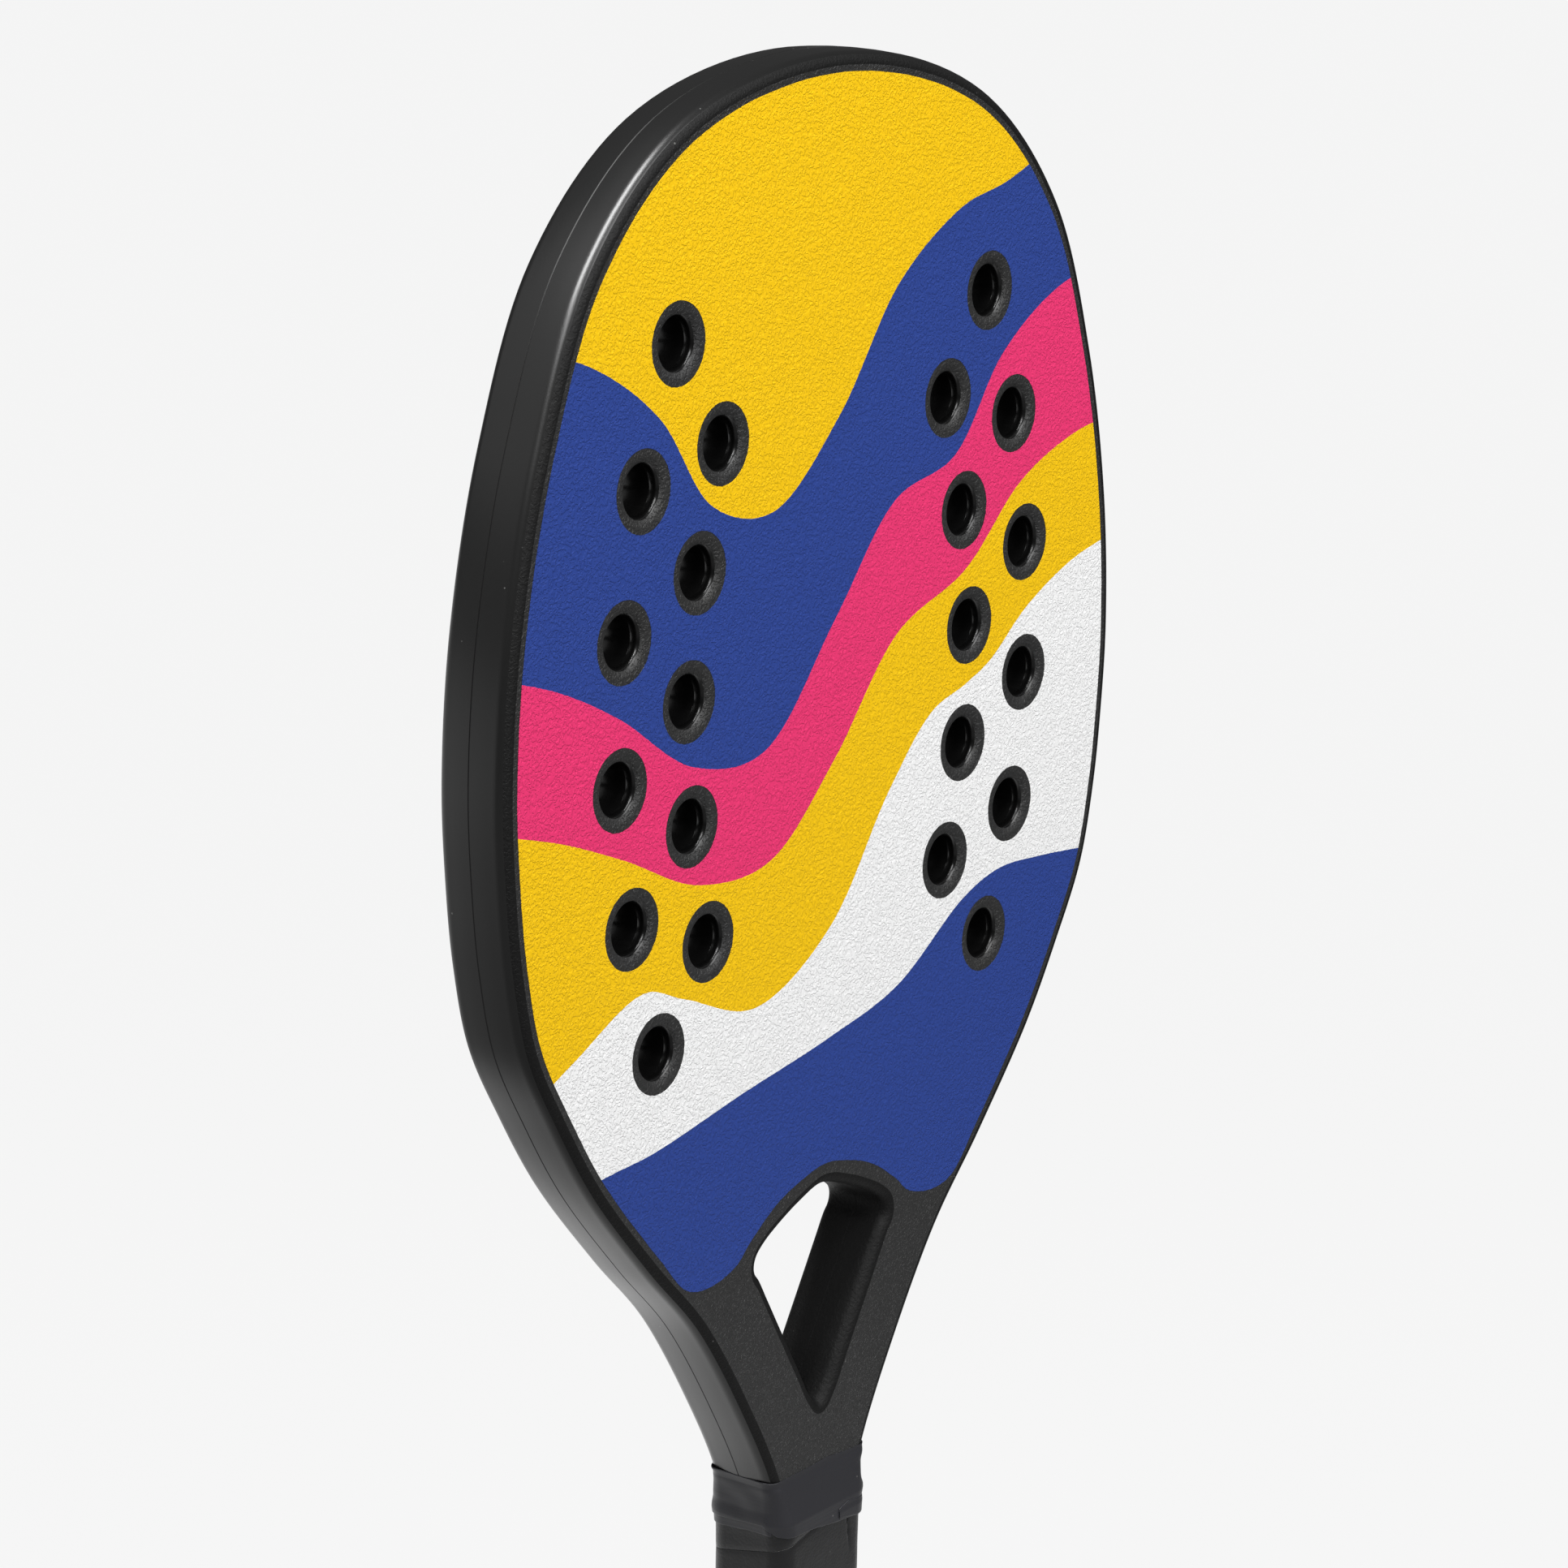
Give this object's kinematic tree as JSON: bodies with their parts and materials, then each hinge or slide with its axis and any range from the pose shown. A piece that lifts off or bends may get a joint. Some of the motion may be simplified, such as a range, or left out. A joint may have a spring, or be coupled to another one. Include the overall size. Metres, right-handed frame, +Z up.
{
  "type": "beach tennis racket",
  "caption": "Beach tennis racket: drilled oval head with wavy coloured print, open triangular throat, banded neck, wound grip and flared butt cap",
  "frame": {"origin": "centre of the butt end, on the racket's long axis", "axes": "+Z up the racket from butt to head, +Y through its thickness to the rear face, +X across its width"},
  "size_m": [0.2516, 0.0308, 0.5],
  "materials": {
    "shell": "moulded shell with a fine grained face and smooth side walls",
    "foam": "soft closed-cell foam",
    "handle_foam": "stiff cast foam",
    "blue": "satin ink over the grained face",
    "white": "satin ink over the grained face",
    "yellow": "satin ink over the grained face",
    "pink": "satin ink over the grained face",
    "grip": "smooth tacky synthetic grip tape",
    "band": "satin elastic finishing tape",
    "cap": "moulded black end cap"
  },
  "bodies": {
    "root": {"front_shell": "shell", "rear_shell": "shell", "head_core": "foam", "handle_core": "handle_foam", "print_front_blue_lower": "blue", "print_front_white": "white", "print_front_yellow_lower": "yellow", "print_front_pink": "pink", "print_front_blue_upper": "blue", "print_front_yellow_upper": "yellow", "print_rear_blue_lower": "blue", "print_rear_white": "white", "print_rear_yellow_lower": "yellow", "print_rear_pink": "pink", "print_rear_blue_upper": "blue", "print_rear_yellow_upper": "yellow", "butt_cap": "cap", "grip_tape": "grip", "finishing_band": "band"}
  },
  "joints": []
}
